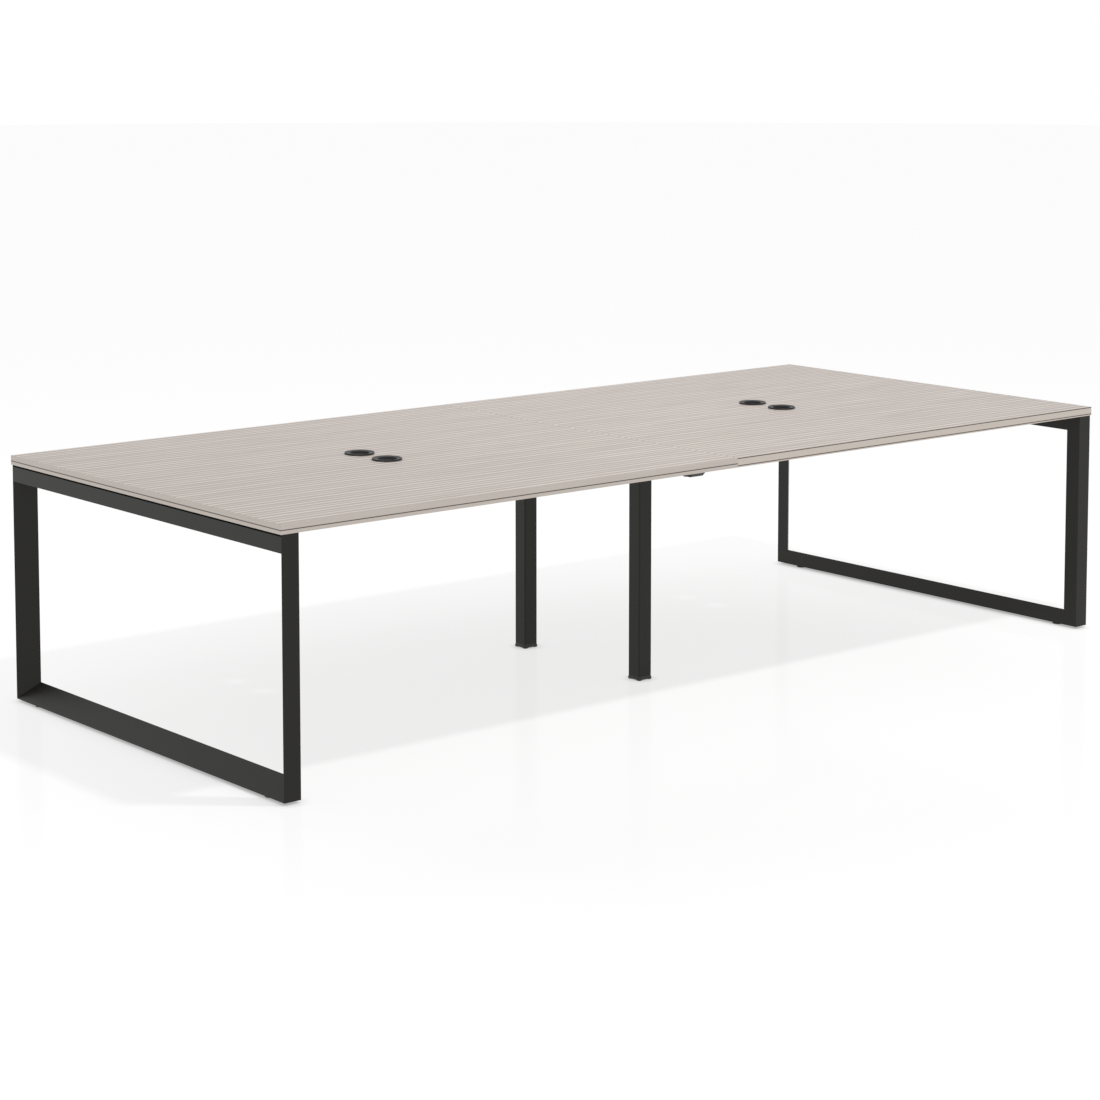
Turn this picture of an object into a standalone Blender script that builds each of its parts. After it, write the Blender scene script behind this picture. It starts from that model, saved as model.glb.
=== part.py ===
"""Bench desk: two laminate tops on two mitred loop frames and a centre support, in metres with +Z up.

The origin is on the floor under the middle of the desk. X runs along the desk and the front edge faces -Y.
"""

import math

import bmesh
import bpy
from mathutils import Matrix, Vector

# Whole desk, measured to the work surface: two tops stand end to end
TOP_LENGTH = 1.600  # of one top, to the middle of the seam
DESK_DEPTH = 1.400
DESK_HEIGHT = 0.735
TOP_THICKNESS = 0.028
SEAM_GAP = 0.0003  # between the two tops
FIT_GAP = 0.0003  # between pieces that touch

# Edging strips
EDGE_THICKNESS = 0.002
EDGE_ROUND = 0.0008

# Shadow gap between the tops and the steel
SHADOW_GAP = 0.0055
SPACER_SETBACK = 0.002  # from the sides and ends of what carries the strip
SPACER_ROUND = 0.004

# End frames
FRAME_INSET_X = 0.0035  # from the tops' edge to the frame
FRAME_INSET_Y = 0.0020
FLOOR_GAP = 0.0075  # under the floor rail
WEDGE_DEPTH = 0.053  # along X
WEDGE_FACE = 0.0525  # across the loop
WEDGE_TIP = 0.0025  # flat on the wedge's thin edge
WEDGE_ROUND = 0.0008
LEG_PLATE = 0.0018  # the leg's outer plate, where it runs on past the rail's end
RAIL_HEIGHT = 0.044
RAIL_ROUND = 0.0006
STEEL_WALL = 0.002

# Levelling feet of the end frames
FOOT_SETBACK = 0.098  # from the loop's outer face to the foot's axis
FOOT_RADIUS = 0.017
FOOT_EDGE_ROUND = 0.0015
STUD_RADIUS = 0.004
STUD_PROUD = 0.0015  # past the nut
NUT_ACROSS_FLATS = 0.013
NUT_HEIGHT = 0.010

# Centre support
POST_WIDTH = 0.050
POST_ROUND = 0.0035
POST_SPREAD = 0.548  # between the posts' axes
POST_FOOT_HEIGHT = 0.0127
POST_FOOT_FLARE = 0.0015  # past each side of the post
POST_FOOT_PAD = 0.013  # width of each corner pad
POST_FOOT_RELIEF = 0.0025  # height of the channels between the pads
POST_INSERT_HEIGHT = 0.020
CROSS_BEAM_SETBACK = 0.132  # from the tops' edge to the upper end of the beam that the posts carry
CROSS_BEAM_SLANT = 0.044  # its lower edge is this much shorter at each end

# Long beams
BEAM_WIDTH = 0.040
BEAM_HEIGHT = 0.040
BEAM_ROUND = 0.003
PLATE_THICKNESS = 0.004
PLATE_EAR = 0.022  # past each side of the beam
PLATE_ROUND = 0.004
BOLT_RADIUS = 0.0033

# Joint plates across the seam
JOINT_PLATE_LENGTH = 0.140
JOINT_PLATE_WIDTH = 0.044
JOINT_PLATE_THICKNESS = 0.003
JOINT_PLATE_SETBACK = 0.075  # from the tops' edge to its middle
JOINT_SCREW_SPACING = 0.100

# Screws through the steel into the tops
TOP_SCREW_SETBACK = 0.080  # from the steel's ends to the outermost screw
TOP_SCREW_RADIUS = 0.003
TOP_SCREWS = 4

# Cable grommets
GROMMET_SPREAD = 0.136  # between the two of a top
GROMMET_HOLE_RADIUS = 0.040
SLEEVE_CLEARANCE = 0.0004
SLEEVE_WALL = 0.0022
SLEEVE_LENGTH = 0.024  # below the work surface
FLANGE_RADIUS = 0.044
FLANGE_HEIGHT = 0.0055
FLANGE_FALL = 0.0010  # towards its inner edge
FLANGE_ROUND = 0.0008
LEDGE_DEPTH = 0.003  # of its upper face below the work surface
LEDGE_WIDTH = 0.0034
LEDGE_THICKNESS = 0.002
CAP_RIM_WIDTH = 0.0025
CAP_RIM_HEIGHT = 0.0040  # above the work surface
CAP_DISH = 0.0050  # from the rim down to the middle
CAP_FLOOR_RADIUS = 0.020
CAP_BOSS = 0.0012  # below the cap's seat
WINDOW_RADIUS = 0.030  # of the half-moon window in the cap
WINDOW_CHORD = 0.003  # from the cap's axis to the window's straight side
WINDOW_FACING = math.radians(45)  # about +Z, from +X

# Facets
ARC_STEPS = 3  # of a rounded corner
TURNED_ARC_STEPS = 2  # of a rounded edge on a turned piece
HOLE_STEPS = 8
GROMMET_STEPS = 36
WINDOW_STEPS = 16
FOOT_STEPS = 24

# Planes that several pieces share
TOP_UNDERSIDE = DESK_HEIGHT - TOP_THICKNESS
RAIL_TOP = TOP_UNDERSIDE - SHADOW_GAP
RAIL_UNDERSIDE = RAIL_TOP - RAIL_HEIGHT
FRAME_X = TOP_LENGTH - FRAME_INSET_X
FRAME_Y = DESK_DEPTH / 2 - FRAME_INSET_Y
LEG_TOP = TOP_UNDERSIDE - FIT_GAP
RAIL_END = FRAME_Y - LEG_PLATE - FIT_GAP
POST_Y = POST_SPREAD / 2
CROSS_BEAM_END = DESK_DEPTH / 2 - CROSS_BEAM_SETBACK
CROSS_BEAM_SIDE = POST_WIDTH / 2
SPACER_THICKNESS = SHADOW_GAP - 2 * FIT_GAP
SPACER_MIDDLE = RAIL_TOP + SHADOW_GAP / 2
SLEEVE_RADIUS = GROMMET_HOLE_RADIUS - SLEEVE_CLEARANCE

SIDES = {"left": -1, "right": 1}
ROWS = {"front": -1, "back": 1}
ALONG_X = (math.pi / 2, 0, math.pi / 2)  # turns local x, y, z to Y, Z, X
ALONG_Y = (math.pi / 2, 0, 0)  # turns local x, y, z to X, Z, -Y

# Colour, roughness and metallic value of each finish
FINISHES = {
    "laminate": ((0.585, 0.532, 0.491), 0.50, 0.0),
    "edging": ((0.552, 0.497, 0.434), 0.50, 0.0),
    "powder_coat": ((0.033, 0.033, 0.031), 0.55, 0.2),
    "black_plastic": ((0.022, 0.022, 0.023), 0.40, 0.0),
    "rubber": ((0.012, 0.012, 0.012), 0.80, 0.0),
    "zinc": ((0.480, 0.490, 0.500), 0.35, 1.0),
}


def clear_scene():
    for obj in list(bpy.data.objects):
        bpy.data.objects.remove(obj)


def new_collection(name):
    collection = bpy.data.collections.new(name)
    bpy.context.scene.collection.children.link(collection)
    return collection


def new_material(name, colour, roughness, metallic):
    material = bpy.data.materials.new(name)
    material.use_nodes = True
    shader = material.node_tree.nodes["Principled BSDF"]
    shader.inputs["Base Color"].default_value = (*colour, 1)
    shader.inputs["Roughness"].default_value = roughness
    shader.inputs["Metallic"].default_value = metallic
    return material


clear_scene()
PARTS = new_collection("bench_desk")
CUTTERS = new_collection("bench_desk_cutters")
MATERIALS = {name: new_material(name, *values) for name, values in FINISHES.items()}
ORIGIN = bpy.data.objects.new("desk_origin", None)
PARTS.objects.link(ORIGIN)


# Outlines

def mirrored(points, sign_x, sign_y):
    """The outline turned towards another quarter, still counter-clockwise."""
    turned = [(x * sign_x, y * sign_y) for x, y in points]
    return turned if sign_x * sign_y > 0 else turned[::-1]


def rectangle(width, height, middle=(0, 0)):
    x, y = middle
    half_w, half_h = width / 2, height / 2
    signs = [(-1, -1), (1, -1), (1, 1), (-1, 1)]
    return [(x + sign_x * half_w, y + sign_y * half_h) for sign_x, sign_y in signs]


def circle(radius, middle=(0, 0), steps=HOLE_STEPS):
    angles = [2 * math.pi * i / steps for i in range(steps)]
    return [(middle[0] + radius * math.cos(a), middle[1] + radius * math.sin(a)) for a in angles]


def inset(corners, distance):
    """A convex counter-clockwise outline moved inwards by a wall's thickness."""
    lines = []
    for a, b in zip(corners, corners[1:] + corners[:1]):
        along = (Vector(b) - Vector(a)).normalized()
        inward = Vector((-along.y, along.x))
        lines.append((Vector(a) + inward * distance, along))
    points = []
    for (p, d), (q, e) in zip(lines[-1:] + lines[:-1], lines):
        reach = (q - p).cross(e) / d.cross(e)
        points.append(tuple(p + d * reach))
    return points


def rounded(corners, radii):
    """A convex counter-clockwise outline with an arc of its own radius at each corner."""
    points = []
    for i, (corner, radius) in enumerate(zip(corners, radii)):
        corner = Vector(corner)
        if radius == 0:
            points.append(tuple(corner))
            continue
        back = (Vector(corners[i - 1]) - corner).normalized()
        onward = (Vector(corners[(i + 1) % len(corners)]) - corner).normalized()
        half_angle = back.angle(onward) / 2
        centre = corner + (back + onward).normalized() * radius / math.sin(half_angle)
        start = corner + back * radius / math.tan(half_angle) - centre
        sweep = math.pi - 2 * half_angle
        for step in range(ARC_STEPS + 1):
            points.append(tuple(centre + Matrix.Rotation(sweep * step / ARC_STEPS, 2) @ start))
    return points


def rounded_rectangle(width, height, radius):
    return rounded(rectangle(width, height), [radius] * 4)


# Meshes and objects

def mesh_of(name, bm):
    bmesh.ops.recalc_face_normals(bm, faces=bm.faces)
    mesh = bpy.data.meshes.new(name)
    bm.to_mesh(mesh)
    bm.free()
    return mesh


def straight(name, outlines, low, high):
    """A bmesh from low to high along local Z: the first outline is its outside, the rest are holes."""
    curve = bpy.data.curves.new(name, "CURVE")
    curve.dimensions = "2D"
    curve.fill_mode = "BOTH"
    curve.extrude = (high - low) / 2
    for outline in outlines:
        spline = curve.splines.new("POLY")
        spline.points.add(len(outline) - 1)
        for point, (x, y) in zip(spline.points, outline):
            point.co = (x, y, 0, 1)
        spline.use_cyclic_u = True
    guide = bpy.data.objects.new(name, curve)
    PARTS.objects.link(guide)
    graph = bpy.context.evaluated_depsgraph_get()
    flat_ended = bpy.data.meshes.new_from_object(guide.evaluated_get(graph))
    bm = bmesh.new()
    bm.from_mesh(flat_ended)
    bmesh.ops.remove_doubles(bm, verts=bm.verts, dist=FIT_GAP / 100)
    bmesh.ops.translate(bm, verts=bm.verts, vec=(0, 0, (low + high) / 2))
    bpy.data.objects.remove(guide)
    bpy.data.curves.remove(curve)
    bpy.data.meshes.remove(flat_ended)
    return bm


def slice_off(bm, point, outward):
    """Cuts off what lies past a plane and closes the cut, also round a hollow section."""
    everything = bm.verts[:] + bm.edges[:] + bm.faces[:]
    cut = bmesh.ops.bisect_plane(bm, geom=everything, plane_co=point, plane_no=outward, clear_outer=True)
    rim = [item for item in cut["geom_cut"] if isinstance(item, bmesh.types.BMEdge)]
    bmesh.ops.triangle_fill(bm, edges=rim, use_beauty=True)


def block(low, high):
    """A bmesh of a box between two corners."""
    low, high = Vector(low), Vector(high)
    bm = bmesh.new()
    bmesh.ops.create_cube(bm, size=1, matrix=Matrix.LocRotScale((low + high) / 2, None, high - low))
    return bm


def add_part(name, bm, finish, location=(0, 0, 0), rotation=(0, 0, 0)):
    obj = bpy.data.objects.new(name, mesh_of(name, bm))
    obj.data.materials.append(MATERIALS[finish])
    obj.location = location
    obj.rotation_euler = rotation
    obj.parent = ORIGIN
    PARTS.objects.link(obj)
    return obj


def add_cutter(name, bm, location=(0, 0, 0)):
    obj = bpy.data.objects.new(name, mesh_of(name, bm))
    obj.location = location
    obj.parent = ORIGIN
    obj.hide_render = True
    obj.display_type = "WIRE"
    CUTTERS.objects.link(obj)
    return obj


def combine(obj, other, operation):
    modifier = obj.modifiers.new(other.name, "BOOLEAN")
    modifier.operation = operation
    modifier.object = other


def add_turned(name, profile, finish, location, steps, closed):
    """A turned piece: the profile's radius and height points run down its outer side."""
    bm = bmesh.new()
    verts = [bm.verts.new((radius, 0, height)) for radius, height in profile]
    for a, b in zip(verts, verts[1:]):
        bm.edges.new((a, b))
    if closed:
        bm.edges.new((verts[-1], verts[0]))
    obj = add_part(name, bm, finish, location)
    turn = obj.modifiers.new("Turn", "SCREW")
    turn.axis = "Z"
    turn.steps = steps
    turn.render_steps = steps
    turn.use_merge_vertices = True
    turn.merge_threshold = FIT_GAP / 100
    turn.use_smooth_shade = True
    return obj


def quarter_arc(middle, radius, start):
    """Points of a quarter turn, clockwise from the start angle in degrees."""
    angles = [math.radians(start - 90 * i / TURNED_ARC_STEPS) for i in range(TURNED_ARC_STEPS + 1)]
    return [(middle[0] + radius * math.cos(a), middle[1] + radius * math.sin(a)) for a in angles]


# Tops

EDGED_LENGTH = TOP_LENGTH - SEAM_GAP / 2
TOP_MIDDLE = (TOP_LENGTH + SEAM_GAP / 2) / 2
EDGE_SEAT = EDGE_THICKNESS + FIT_GAP


def grommet_places(side):
    """Name and middle of the two grommets of one top."""
    for row, towards in ROWS.items():
        yield f"{side}_{row}", (SIDES[side] * TOP_MIDDLE, towards * GROMMET_SPREAD / 2)


def add_top_panel(side):
    middle = SIDES[side] * TOP_MIDDLE
    board = rectangle(EDGED_LENGTH - 2 * EDGE_SEAT, DESK_DEPTH - 2 * EDGE_SEAT, (middle, 0))
    holes = [circle(GROMMET_HOLE_RADIUS, place, GROMMET_STEPS) for _, place in grommet_places(side)]
    bm = straight(f"{side}_top_panel", [board, *holes], TOP_UNDERSIDE, DESK_HEIGHT)
    add_part(f"{side}_top_panel", bm, "laminate")


def edge_section(towards):
    """Section of an edging strip, its outer face at local x = 0 and its rounded edges there."""
    corners = rectangle(EDGE_THICKNESS, TOP_THICKNESS, (-EDGE_THICKNESS / 2, DESK_HEIGHT - TOP_THICKNESS / 2))
    return mirrored(rounded(corners, [0, EDGE_ROUND, EDGE_ROUND, 0]), towards, 1)


def add_edging(side):
    """Front and back strips run the top's whole length, and the two end strips fit between them."""
    sign = SIDES[side]
    middle = sign * TOP_MIDDLE
    half = EDGED_LENGTH / 2
    for row, towards in ROWS.items():
        name = f"{side}_{row}_edging"
        bm = straight(name, [edge_section(towards)], -half, half)
        add_part(name, bm, "edging", (middle, towards * DESK_DEPTH / 2, 0), ALONG_X)
    reach = DESK_DEPTH / 2 - EDGE_SEAT
    for place, towards in (("end", sign), ("seam", -sign)):
        name = f"{side}_{place}_edging"
        bm = straight(name, [edge_section(towards)], -reach, reach)
        add_part(name, bm, "edging", (middle + towards * half, 0, 0), ALONG_Y)


# Cable grommets

def sleeve_profile():
    inner = SLEEVE_RADIUS - SLEEVE_WALL
    ledge_low = -LEDGE_DEPTH - LEDGE_THICKNESS
    shoulder = FLANGE_HEIGHT - FLANGE_ROUND
    points = [(inner, -LEDGE_DEPTH)]
    points += quarter_arc((inner + FLANGE_ROUND, shoulder - FLANGE_FALL), FLANGE_ROUND, 180)
    points += quarter_arc((FLANGE_RADIUS - FLANGE_ROUND, shoulder), FLANGE_ROUND, 90)
    points += [(FLANGE_RADIUS, FIT_GAP), (SLEEVE_RADIUS, FIT_GAP)]
    points += [(SLEEVE_RADIUS, -SLEEVE_LENGTH), (inner, -SLEEVE_LENGTH)]
    points += [(inner, ledge_low - LEDGE_WIDTH / 2), (inner - LEDGE_WIDTH, ledge_low)]
    points += [(inner - LEDGE_WIDTH, -LEDGE_DEPTH)]
    return points


def cap_profile():
    radius = SLEEVE_RADIUS - SLEEVE_WALL - FIT_GAP
    seat = -LEDGE_DEPTH + FIT_GAP
    boss = SLEEVE_RADIUS - SLEEVE_WALL - LEDGE_WIDTH - 2 * FIT_GAP
    rim_round = CAP_RIM_WIDTH / 4
    floor = CAP_RIM_HEIGHT - CAP_DISH
    points = [(0, floor), (CAP_FLOOR_RADIUS, floor), (radius - CAP_RIM_WIDTH, CAP_RIM_HEIGHT)]
    points += quarter_arc((radius - rim_round, CAP_RIM_HEIGHT - rim_round), rim_round, 90)
    points += [(radius, seat), (boss, seat), (boss, seat - CAP_BOSS), (0, seat - CAP_BOSS)]
    return points


def window_outline():
    """A half moon on the local +Y side of the cap's axis."""
    start = math.asin(WINDOW_CHORD / WINDOW_RADIUS)
    turns = [start + (math.pi - 2 * start) * i / WINDOW_STEPS for i in range(WINDOW_STEPS + 1)]
    return [(WINDOW_RADIUS * math.cos(a), WINDOW_RADIUS * math.sin(a)) for a in turns]


def add_grommets(side):
    for place, (x, y) in grommet_places(side):
        middle = (x, y, DESK_HEIGHT)
        turned = {"finish": "black_plastic", "location": middle, "steps": GROMMET_STEPS}
        add_turned(f"{place}_grommet_sleeve", sleeve_profile(), closed=True, **turned)
        cap = add_turned(f"{place}_grommet_cap", cap_profile(), closed=False, **turned)
        half_moon = straight("window", [window_outline()], -FLANGE_RADIUS, FLANGE_RADIUS)
        window = add_cutter(f"{place}_cable_window", half_moon, middle)
        window.rotation_euler.z = WINDOW_FACING - math.pi / 2
        combine(cap, window, "DIFFERENCE")


# End frames

def wedge_section(sign_x, sign_y):
    """Outside and hollow of the wedge: a plate on the loop's outside, a flat plate and a slanted one."""
    rise = (WEDGE_FACE - WEDGE_TIP) / WEDGE_DEPTH
    heel, nose = (WEDGE_DEPTH, 0), (WEDGE_DEPTH, WEDGE_FACE)
    outside = rounded([(0, 0), heel, nose, (0, WEDGE_TIP)], [WEDGE_ROUND] * 4)
    hollow = inset([(-WEDGE_TIP / rise, 0), heel, nose], STEEL_WALL)
    return [mirrored(outside, sign_x, sign_y), mirrored(hollow, sign_x, sign_y)]


def foot_places(side):
    """Name and middle of the two levelling feet of one end frame."""
    for row, towards in ROWS.items():
        x = SIDES[side] * (FRAME_X - WEDGE_DEPTH / 2)
        yield f"{side}_{row}", (x, towards * (FRAME_Y - FOOT_SETBACK))


def add_legs(side):
    """Mitred at the floor. From the rail's underside up to the top, only the outer plate runs on."""
    sign = SIDES[side]
    for row, towards in ROWS.items():
        name = f"{side}_{row}_leg"
        bm = straight(name, wedge_section(-sign, -towards), FLOOR_GAP, LEG_TOP)
        mitre = Vector((0, -towards, -1)).normalized()
        slice_off(bm, Vector((0, 0, FLOOR_GAP)) - mitre * FIT_GAP / 2, mitre)
        leg = add_part(name, bm, "powder_coat", (sign * FRAME_X, towards * FRAME_Y, 0))
        left, right = sorted((sign * TOP_LENGTH, sign * (FRAME_X - 2 * WEDGE_DEPTH)))
        near, far = sorted((towards * (FRAME_Y - LEG_PLATE), towards * (FRAME_Y - 2 * WEDGE_FACE)))
        seat = block((left, near, RAIL_UNDERSIDE - FIT_GAP), (right, far, DESK_HEIGHT))
        combine(leg, add_cutter(f"{name}_rail_seat", seat), "DIFFERENCE")


def add_floor_rail(side):
    sign = SIDES[side]
    name = f"{side}_floor_rail"
    bm = straight(name, wedge_section(-sign, 1), -FRAME_Y, FRAME_Y)
    for end in ROWS.values():
        mitre = Vector((0, 1, end)).normalized()
        slice_off(bm, Vector((0, 0, end * FRAME_Y)) - mitre * FIT_GAP / 2, mitre)
    rail = add_part(name, bm, "powder_coat", (sign * FRAME_X, 0, FLOOR_GAP), ALONG_Y)
    holes = bmesh.new()
    for _, (x, y) in foot_places(side):
        add_round(holes, (x, y), STUD_RADIUS + FIT_GAP, FLOOR_GAP - STEEL_WALL, FLOOR_GAP + 2 * STEEL_WALL)
    combine(rail, add_cutter(f"{side}_stud_holes", holes), "DIFFERENCE")


def add_round(bm, middle, radius, low, high, steps=HOLE_STEPS):
    """Adds an upright cylinder to a bmesh."""
    place = Matrix.Translation((*middle, (low + high) / 2))
    bmesh.ops.create_cone(
        bm, cap_ends=True, segments=steps, radius1=radius, radius2=radius, depth=high - low, matrix=place
    )


def top_screw_places(reach):
    """Places along Y of the screws that hold a top, from the middle out to the reach."""
    return [reach * (2 * i / (TOP_SCREWS - 1) - 1) for i in range(TOP_SCREWS)]


RAIL_SPACER_REACH = RAIL_END - SPACER_SETBACK
BEAM_SPACER_REACH = CROSS_BEAM_END - SPACER_SETBACK
RAIL_SCREW_REACH = FRAME_Y - TOP_SCREW_SETBACK
BEAM_SCREW_REACH = CROSS_BEAM_END - TOP_SCREW_SETBACK
BEAM_SPACER_WIDTH = CROSS_BEAM_SIDE - SPACER_SETBACK


def screw_holes(xs, reach):
    bm = bmesh.new()
    for x in xs:
        for y in top_screw_places(reach):
            add_round(bm, (x, y), TOP_SCREW_RADIUS, RAIL_UNDERSIDE - STEEL_WALL, RAIL_TOP + STEEL_WALL)
    return bm


def add_top_rail(side):
    """A closed rectangular tube between the legs' plates, open to the air only at its screw holes."""
    name = f"{side}_top_rail"
    middle = SIDES[side] * (FRAME_X - WEDGE_DEPTH / 2)
    bm = straight(name, [rounded_rectangle(WEDGE_DEPTH, RAIL_HEIGHT, RAIL_ROUND)], -RAIL_END, RAIL_END)
    rail = add_part(name, bm, "powder_coat", (middle, 0, RAIL_TOP - RAIL_HEIGHT / 2), ALONG_Y)
    width, end = WEDGE_DEPTH / 2 - STEEL_WALL, RAIL_END - STEEL_WALL
    low = (middle - width, -end, RAIL_UNDERSIDE + STEEL_WALL)
    high = (middle + width, end, RAIL_TOP - STEEL_WALL)
    combine(rail, add_cutter(f"{side}_rail_hollow", block(low, high)), "DIFFERENCE")
    holes = screw_holes([middle], RAIL_SCREW_REACH)
    combine(rail, add_cutter(f"{side}_rail_holes", holes), "DIFFERENCE")


def add_spacer(name, x, width, reach, screw_reach):
    """A strip between the steel and a top, with the top's screws passing through it."""
    holes = [circle(TOP_SCREW_RADIUS, (0, y)) for y in top_screw_places(screw_reach)]
    strip = rounded_rectangle(width, 2 * reach, SPACER_ROUND)
    bm = straight(name, [strip, *holes], -SPACER_THICKNESS / 2, SPACER_THICKNESS / 2)
    add_part(name, bm, "rubber", (x, 0, SPACER_MIDDLE))


def add_rail_spacer(side):
    x = SIDES[side] * (FRAME_X - WEDGE_DEPTH / 2)
    width = WEDGE_DEPTH - 2 * SPACER_SETBACK
    add_spacer(f"{side}_rail_spacer", x, width, RAIL_SPACER_REACH, RAIL_SCREW_REACH)


# Levelling feet

def foot_profile():
    """Pad and stud in one, from the stud's top down to the floor, about the foot's axis."""
    pad_top = FLOOR_GAP - FIT_GAP
    stud_top = FLOOR_GAP + STEEL_WALL + FIT_GAP + NUT_HEIGHT + STUD_PROUD
    points = [(0, stud_top), (STUD_RADIUS, stud_top), (STUD_RADIUS, pad_top)]
    points += quarter_arc((FOOT_RADIUS - FOOT_EDGE_ROUND, pad_top - FOOT_EDGE_ROUND), FOOT_EDGE_ROUND, 90)
    points += [(FOOT_RADIUS, FOOT_EDGE_ROUND), (FOOT_RADIUS - FOOT_EDGE_ROUND, 0), (0, 0)]
    return points


def add_feet(side):
    nut_low = FLOOR_GAP + STEEL_WALL + FIT_GAP
    for place, (x, y) in foot_places(side):
        add_turned(f"{place}_foot", foot_profile(), "black_plastic", (x, y, 0), FOOT_STEPS, closed=False)
        hexagon = circle(NUT_ACROSS_FLATS / math.sqrt(3), steps=6)
        bore = circle(STUD_RADIUS + FIT_GAP)
        bm = straight(f"{place}_foot_nut", [hexagon, bore], nut_low, nut_low + NUT_HEIGHT)
        add_part(f"{place}_foot_nut", bm, "zinc", (x, y, 0))


# Centre support

POST_BORE = POST_WIDTH - 2 * STEEL_WALL
POST_LOW = POST_FOOT_HEIGHT + FIT_GAP


def add_post(row):
    name = f"{row}_post"
    outside = rounded_rectangle(POST_WIDTH, POST_WIDTH, POST_ROUND)
    hollow = rounded_rectangle(POST_BORE, POST_BORE, POST_ROUND - STEEL_WALL)
    bm = straight(name, [outside, hollow], POST_LOW, RAIL_UNDERSIDE - FIT_GAP)
    add_part(name, bm, "powder_coat", (0, ROWS[row] * POST_Y, 0))


def add_post_insert(row):
    name = f"{row}_post_insert"
    side = POST_BORE - 2 * FIT_GAP
    plug = rounded_rectangle(side, side, POST_ROUND - STEEL_WALL)
    bm = straight(name, [plug, circle(STUD_RADIUS + FIT_GAP)], POST_LOW, POST_LOW + POST_INSERT_HEIGHT)
    add_part(name, bm, "black_plastic", (0, ROWS[row] * POST_Y, 0))


def add_post_foot(row):
    """A square foot that flares towards the floor and stands on its four corners, with its stud."""
    name = f"{row}_post_foot"
    place = (0, ROWS[row] * POST_Y, 0)
    bm = straight(name, [rounded_rectangle(POST_WIDTH, POST_WIDTH, POST_ROUND)], 0, POST_FOOT_HEIGHT)
    flare = 1 + 2 * POST_FOOT_FLARE / POST_WIDTH
    lowest = [v for v in bm.verts if v.co.z < POST_FOOT_HEIGHT / 2]
    bmesh.ops.scale(bm, verts=lowest, vec=(flare, flare, 1))
    foot = add_part(name, bm, "black_plastic", place)
    stud = bmesh.new()
    stud_top = POST_LOW + POST_INSERT_HEIGHT + STUD_PROUD
    add_round(stud, (0, 0), STUD_RADIUS, POST_FOOT_HEIGHT / 2, stud_top, FOOT_STEPS)
    combine(foot, add_cutter(f"{row}_post_stud", stud, place), "UNION")
    base = POST_WIDTH + 2 * POST_FOOT_FLARE
    half = base / 2 - POST_FOOT_PAD
    for axis, (x, y) in {"along": (base, half), "across": (half, base)}.items():
        channel = block((-x, -y, -POST_FOOT_RELIEF), (x, y, POST_FOOT_RELIEF))
        combine(foot, add_cutter(f"{row}_foot_channel_{axis}", channel, place), "DIFFERENCE")


def add_cross_beam():
    """A closed tube across the desk whose ends slant outwards from below."""
    upper, lower = CROSS_BEAM_END, CROSS_BEAM_END - CROSS_BEAM_SLANT
    corners = [(-lower, RAIL_UNDERSIDE), (lower, RAIL_UNDERSIDE), (upper, RAIL_TOP), (-upper, RAIL_TOP)]
    bm = straight("cross_beam", [corners], -CROSS_BEAM_SIDE, CROSS_BEAM_SIDE)
    beam = add_part("cross_beam", bm, "powder_coat", rotation=ALONG_X)
    width = CROSS_BEAM_SIDE - STEEL_WALL
    hollow = straight("hollow", [inset(corners, STEEL_WALL)], -width, width)
    cutter = add_cutter("cross_beam_hollow", hollow)
    cutter.rotation_euler = ALONG_X
    combine(beam, cutter, "DIFFERENCE")
    xs = [sign * (SEAM_GAP + BEAM_SPACER_WIDTH) / 2 for sign in SIDES.values()]
    combine(beam, add_cutter("cross_beam_holes", screw_holes(xs, BEAM_SCREW_REACH)), "DIFFERENCE")


def add_seam_spacer(side):
    x = SIDES[side] * (SEAM_GAP + BEAM_SPACER_WIDTH) / 2
    width = BEAM_SPACER_WIDTH - FIT_GAP
    add_spacer(f"{side}_seam_spacer", x, width, BEAM_SPACER_REACH, BEAM_SCREW_REACH)


# Long beams and joint plates

BEAM_MIDDLE = RAIL_TOP - BEAM_HEIGHT / 2
BEAM_OUTER = FRAME_X - WEDGE_DEPTH - FIT_GAP  # where the outer plate meets the end frame
BEAM_INNER = CROSS_BEAM_SIDE + FIT_GAP  # where the inner plate meets the cross beam


def add_end_plate(name, x, y):
    ear = BEAM_WIDTH / 2 + PLATE_EAR / 2
    bolts = [circle(BOLT_RADIUS, (towards * ear, 0)) for towards in ROWS.values()]
    plate = rounded_rectangle(BEAM_WIDTH + 2 * PLATE_EAR, BEAM_HEIGHT, PLATE_ROUND)
    bm = straight(name, [plate, *bolts], -PLATE_THICKNESS / 2, PLATE_THICKNESS / 2)
    add_part(name, bm, "powder_coat", (x, y, BEAM_MIDDLE), ALONG_X)


def add_long_beam(side, row):
    sign = SIDES[side]
    y = ROWS[row] * POST_Y
    name = f"{side}_{row}_beam"
    outside = rounded_rectangle(BEAM_WIDTH, BEAM_HEIGHT, BEAM_ROUND)
    bore = (BEAM_WIDTH - 2 * STEEL_WALL, BEAM_HEIGHT - 2 * STEEL_WALL)
    hollow = rounded_rectangle(*bore, BEAM_ROUND - STEEL_WALL)
    seat = PLATE_THICKNESS + FIT_GAP
    near, far = sorted((sign * (BEAM_OUTER - seat), sign * (BEAM_INNER + seat)))
    bm = straight(name, [outside, hollow], near, far)
    add_part(name, bm, "powder_coat", (0, y, BEAM_MIDDLE), ALONG_X)
    add_end_plate(f"{side}_{row}_beam_outer_plate", sign * (BEAM_OUTER - PLATE_THICKNESS / 2), y)
    add_end_plate(f"{side}_{row}_beam_inner_plate", sign * (BEAM_INNER + PLATE_THICKNESS / 2), y)


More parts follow.
